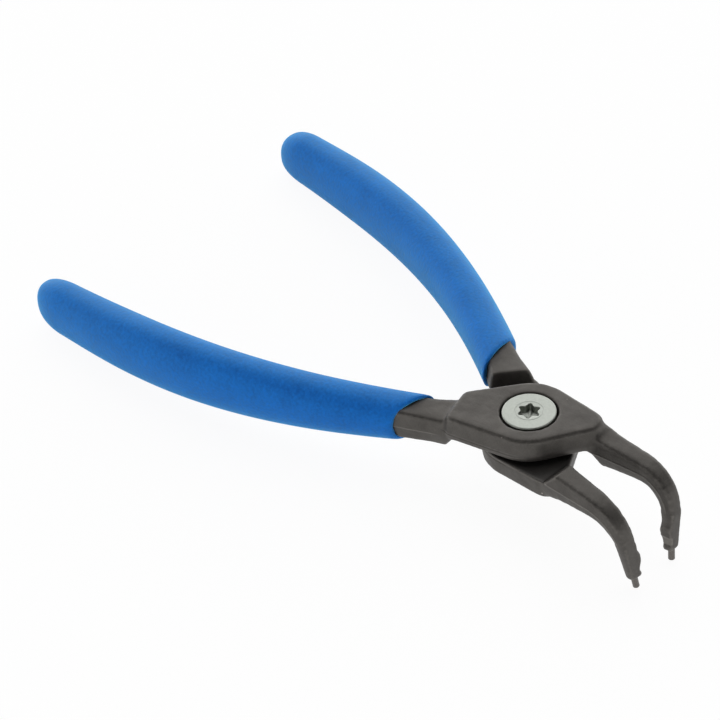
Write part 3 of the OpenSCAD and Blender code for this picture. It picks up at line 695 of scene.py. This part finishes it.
def sweepTree():
    # the section swept along the stations, then every point put in its place by the stored fields
    tree, known = newTree("sweptGrip", {"Section": "Object"})
    given = addNode(tree, "NodeGroupInput").outputs
    section = addNode(tree, "GeometryNodeObjectInfo", {"Object": given["Section"]}).outputs["Geometry"]
    spine = addNode(tree, "GeometryNodeMeshToCurve", {"Mesh": given["Geometry"]})
    outline = addNode(tree, "GeometryNodeMeshToCurve", {"Mesh": section})
    sleeve = addNode(tree, "GeometryNodeCurveToMesh", {
        "Curve": spine, "Profile Curve": outline, "Fill Caps": True})
    fields = {}
    for kind, labels in (("FLOAT_VECTOR", ("centre", "along")),
                         ("FLOAT", ("halfWidth", "halfHeight", "slant", "steel")),
                         ("FLOAT", ("softX", "softY", "steelX", "steelY"))):
        for label in labels:
            fields[label] = addNode(tree, "GeometryNodeInputNamedAttribute", {
                "Name": label}, data_type=kind)
    offset = {}
    for axis, size in (("X", "halfWidth"), ("Y", "halfHeight")):
        onSection = addNode(tree, "ShaderNodeMix", {
            "Factor": fields["steel"], "A": fields["soft" + axis], "B": fields["steel" + axis]},
            data_type="FLOAT")
        offset[axis] = addNode(tree, "ShaderNodeMath", {
            0: onSection, 1: fields[size]}, operation="MULTIPLY")
    sheared = addNode(tree, "ShaderNodeMath", {0: offset["X"], 1: fields["slant"]}, operation="MULTIPLY")
    lean = addNode(tree, "ShaderNodeMath", {0: sheared, 1: -1.0}, operation="MULTIPLY")
    across = addNode(tree, "ShaderNodeVectorMath", {
        0: fields["along"], 1: upward}, operation="CROSS_PRODUCT")
    place = fields["centre"]
    for way, length in ((across, offset["X"]), (upward, offset["Y"]), (fields["along"], lean)):
        step = addNode(tree, "ShaderNodeVectorMath", {0: way, "Scale": length}, operation="SCALE")
        place = addNode(tree, "ShaderNodeVectorMath", {0: place, 1: step}, operation="ADD")
    shaped = addNode(tree, "GeometryNodeSetPosition", {"Geometry": sleeve, "Position": place})
    endTree(tree, shaped, softPlastic)
    return tree, known


profile = gripProfile()
ringPoints = [(x, y, 0.0) for x, y in zip(profile["softX"], profile["softY"])]
sectionObject = bpy.data.objects.new("section", lineMesh("section", ringPoints, True, profile))
scene.collection.objects.link(sectionObject)
gripTree, gripInputs = sweepTree()
for side in ("upper", "lower"):
    stations = gripStations(grip["mouth"][side])
    fields = {label: [station[label] for station in stations] for label in stations[0]}
    spine = lineMesh(side + "Sleeve", fields["centre"], False, fields)
    sleeve = runTree(spine, gripTree, gripInputs, {"Section": sectionObject})
    pointOutwards(sleeve)
    sleeve.transform(halfPlace[side])
    newPiece(side + "Grip", sleeve, side + "_lever", side + "_grip")
bpy.data.objects.remove(sectionObject)


def ringAngles(around):
    return np.arange(around) * 2 * math.pi / around


def turnedMesh(name, outline, around, material):
    # skin over one ring for each radius and height of the outline, closed at both ends
    angles = ringAngles(around)
    points = []
    for radius, height in outline:
        points += zip(radius * np.cos(angles), radius * np.sin(angles), np.full(around, height))
    faces = []
    for i in range(len(outline) - 1):
        for j in range(around):
            k = (j + 1) % around
            faces.append((i * around + j, i * around + k, (i + 1) * around + k, (i + 1) * around + j))
    for first, order in ((0, -1), ((len(outline) - 1) * around, 1)):
        hub = len(points)
        points.append(tuple(np.mean(points[first:first + around], axis=0)))
        for j in range(around):
            faces.append((first + j, first + (j + 1) % around, hub)[::order])
    mesh = bpy.data.meshes.new(name)
    mesh.from_pydata(points, [], faces)
    mesh.materials.append(material)
    pointOutwards(mesh)
    return mesh


def roundedEdge(radius, height, size, turns):
    # a quarter circle from the side of a turned piece to its flat end
    return [(radius - size * (1 - math.cos(a)), height - size * (1 - math.sin(a)))
            for a in np.radians(turns)]


# Pivot screw: flat turned head with a six-lobe recess, shoulder and threaded end
screw = {
    # radii from the axis and heights from the lap plane, in mm
    "threadRadius": 2.5, "threadEnd": -4.6, "threadEdge": 0.4,
    "shoulderRadius": 3.5, "shoulderStart": -0.05,
    "headRadius": 5.2, "headUnder": 2.95, "headTop": 4.95, "headEdge": 0.05,
    "rim": 0.3, "rimTurns": (0, 22, 45, 68, 90),
    "ringRadius": 2.68, "ringWidth": 0.12, "ringDepth": 0.16,
    "hold": 0.05,                                             # loops that keep the flat true there
    "starOut": 2.25, "starIn": 1.62, "lobes": 6, "lobeShape": 0.1,
    "starEdge": ((0.06, 0.0), (0.03, 0.01), (0.0, 0.06)),     # outwards and down
    "starWall": ((0.985, 0.3), (0.96, 1.5), (0.9, 1.6)),      # share of the star, and down
    "starFloor": (0.4, 1.85),                                 # radius and down
    "around": 180,
}


def screwOutline():
    # from the threaded end over the head and down into the star
    thread, end, start = screw["threadRadius"], screw["threadEnd"], screw["shoulderStart"]
    shoulder, head, under = screw["shoulderRadius"], screw["headRadius"], screw["headUnder"]
    top, rim, hold = screw["headTop"], screw["rim"], screw["hold"]
    ringOut, ringIn = screw["ringRadius"] + screw["ringWidth"], screw["ringRadius"] - screw["ringWidth"]
    outline = [
        (thread - screw["threadEdge"], end), (thread, end + screw["threadEdge"]), (thread, start),
        (shoulder, start), (shoulder, under), (head - screw["headEdge"], under),
        (head, under + screw["headEdge"]),
    ]
    outline += roundedEdge(head, top, rim, screw["rimTurns"])
    outline += [
        (head - rim - hold, top), (ringOut + hold, top), (ringOut, top),
        (screw["ringRadius"], top - screw["ringDepth"]), (ringIn, top), (ringIn - hold, top),
    ]
    angles, lobes, shape = ringAngles(screw["around"]), screw["lobes"], screw["lobeShape"]
    middle, swing = (screw["starOut"] + screw["starIn"]) / 2, (screw["starOut"] - screw["starIn"]) / 2
    star = middle + swing * (np.cos(lobes * angles) + shape * np.cos(2 * lobes * angles) - shape)
    outline += [(star + out, top - down) for out, down in screw["starEdge"]]
    outline += [(star * share, top - down) for share, down in screw["starWall"]]
    floorRadius, floorDepth = screw["starFloor"]
    return outline + [(floorRadius, top - floorDepth)]


screwMesh = turnedMesh("pivotScrew", screwOutline(), screw["around"], brightZinc)
screwMesh.transform(halfPlace["upper"])
newPiece("pivotScrew", screwMesh, "lower_lever", "pivot_screw")


# Tip pins: a tapered shank pressed into the jaw and a free end with a rounded edge
def pinOutline(radius, length):
    inner, inJaw, edge = pin["inner"], pin["inJaw"], pin["shankEdge"]
    tip = pin["taperOut"] + length + pin["tipSpare"]
    shank = [(inner - edge, -inJaw), (inner, edge - inJaw), (radius, pin["taperOut"])]
    return (shank + roundedEdge(radius, tip, pin["endRound"], pin["endTurns"])
            + [(radius - pin["endFlat"] * pin["endRound"], tip)])


for side in ("upper", "lower"):
    dims = mounts[side + "_tip"]["dims"]
    outline = pinOutline(dims["r_mm"], dims["length_mm"])
    pinMesh = turnedMesh(side + "TipPin", outline, pin["around"], pinSteel)
    root, way = pinRoot(side)
    turn = upward.rotation_difference(way).to_matrix().to_4x4()
    pinMesh.transform(Matrix.Translation(root) @ turn @ Matrix.Scale(metresPerMm, 4))
    newPiece(side + "TipPin", pinMesh, side + "_lever", side + "_tip_pin")

# Bench, light and camera, in metres and degrees
stage = {
    "floorSize": 4.0, "floorColour": "#f4f4f4", "floorRough": 0.9, "floorGloss": 0.1,
    "floorWhite": 0.9, "floorGlow": 1.04,                                   # how white the bench looks
    "windowBright": 1.25, "windowTilt": 45.0, "windowEdge": (0.5, 0.98),    # a soft light behind the tool
    "cardBright": 2.4, "cardTop": 0.5,                                      # white cards round the bench
    "keyPlace": (-0.25, 0.15, 0.9), "keySize": 0.9, "keyPower": 0.8,
}
cameraView = {
    "azimuth": 45.258, "elevation": 43.065, "roll": 0.07,
    "target": (-0.00481, -0.0063, 0.01083), "distance": 0.62364, "lens": 160.0, "sensor": 36.0,
}
white = linearColour("#ffffff")


def makeFloor():
    half = stage["floorSize"] / 2
    corners = [(-half, -half, 0), (half, -half, 0), (half, half, 0), (-half, half, 0)]
    mesh = bpy.data.meshes.new("bench")
    mesh.from_pydata(corners, [], [(0, 1, 2, 3)])
    floor = bpy.data.objects.new("bench", mesh)
    scene.collection.objects.link(floor)
    material, tree = newMaterial("paleBench")
    bench = addNode(tree, "ShaderNodeBsdfPrincipled", {
        "Base Color": linearColour(stage["floorColour"]), "Roughness": stage["floorRough"],
        "Specular IOR Level": stage["floorGloss"]})
    glow = addNode(tree, "ShaderNodeEmission", {"Color": white, "Strength": stage["floorGlow"]})
    # white for the camera, and for what metal and glass show of the bench
    path = addNode(tree, "ShaderNodeLightPath").outputs
    seen = path["Is Camera Ray"]
    for ray in ("Is Glossy Ray", "Is Transmission Ray"):
        seen = addNode(tree, "ShaderNodeMath", {0: seen, 1: path[ray]}, operation="MAXIMUM")
    share = addNode(tree, "ShaderNodeMath", {0: seen, 1: stage["floorWhite"]}, operation="MULTIPLY")
    mixed = addNode(tree, "ShaderNodeMixShader", {0: share, 1: bench, 2: glow})
    addNode(tree, "ShaderNodeOutputMaterial", {"Surface": mixed})
    material.cycles.emission_sampling = "NONE"   # the white is only looked at, it lights nothing
    mesh.materials.append(material)


def makeLight():
    world = bpy.data.worlds.new("studio")
    world.use_nodes = True
    scene.world = world
    tree = world.node_tree
    tree.nodes.clear()
    direction = addNode(tree, "ShaderNodeTexCoord").outputs["Generated"]
    tilt, azimuth = math.radians(stage["windowTilt"]), math.radians(cameraView["azimuth"])
    windowSide = (-math.sin(azimuth) * math.sin(tilt), math.cos(azimuth) * math.sin(tilt), math.cos(tilt))
    facing = addNode(tree, "ShaderNodeVectorMath", {0: direction, 1: windowSide}, operation="DOT_PRODUCT")
    window = addNode(tree, "ShaderNodeMapRange", {
        "Value": facing, "From Min": stage["windowEdge"][0], "From Max": stage["windowEdge"][1],
        "To Max": stage["windowBright"]}, interpolation_type="SMOOTHSTEP")
    height = addNode(tree, "ShaderNodeSeparateXYZ", {0: direction}).outputs["Z"]
    cards = addNode(tree, "ShaderNodeMapRange", {
        "Value": height, "From Min": stage["cardTop"], "From Max": 0.0,
        "To Max": stage["cardBright"]}, interpolation_type="SMOOTHSTEP")
    light = addNode(tree, "ShaderNodeMath", {0: window, 1: cards}, operation="ADD")
    sky = addNode(tree, "ShaderNodeBackground", {"Color": white, "Strength": light})
    addNode(tree, "ShaderNodeOutputWorld", {"Surface": sky})
    lamp = bpy.data.lights.new("overheadSoftbox", "AREA")
    lamp.shape = "SQUARE"
    lamp.size = stage["keySize"]
    lamp.energy = stage["keyPower"]
    key = bpy.data.objects.new("overheadSoftbox", lamp)
    key.location = stage["keyPlace"]
    key.rotation_euler = (-key.location).to_track_quat("-Z", "Y").to_euler()
    scene.collection.objects.link(key)


def makeCamera():
    azimuth, elevation, roll = (math.radians(cameraView[k]) for k in ("azimuth", "elevation", "roll"))
    back = Vector((math.sin(azimuth) * math.cos(elevation), -math.cos(azimuth) * math.cos(elevation),
                   math.sin(elevation)))
    level = Vector((math.cos(azimuth), math.sin(azimuth), 0))
    rise = back.cross(level)
    right = level * math.cos(roll) + rise * math.sin(roll)
    up = rise * math.cos(roll) - level * math.sin(roll)
    lens = bpy.data.cameras.new("photoView")
    lens.lens = cameraView["lens"]
    lens.sensor_width = cameraView["sensor"]
    lens.sensor_fit = "HORIZONTAL"
    camera = bpy.data.objects.new("photoView", lens)
    turn = Matrix((right, up, back)).transposed().to_4x4()
    where = Vector(cameraView["target"]) + back * cameraView["distance"]
    camera.matrix_world = Matrix.Translation(where) @ turn
    scene.collection.objects.link(camera)
    scene.camera = camera


makeFloor()
makeLight()
makeCamera()
scene.view_settings.view_transform = "Standard"
print("stage, light and camera ready")
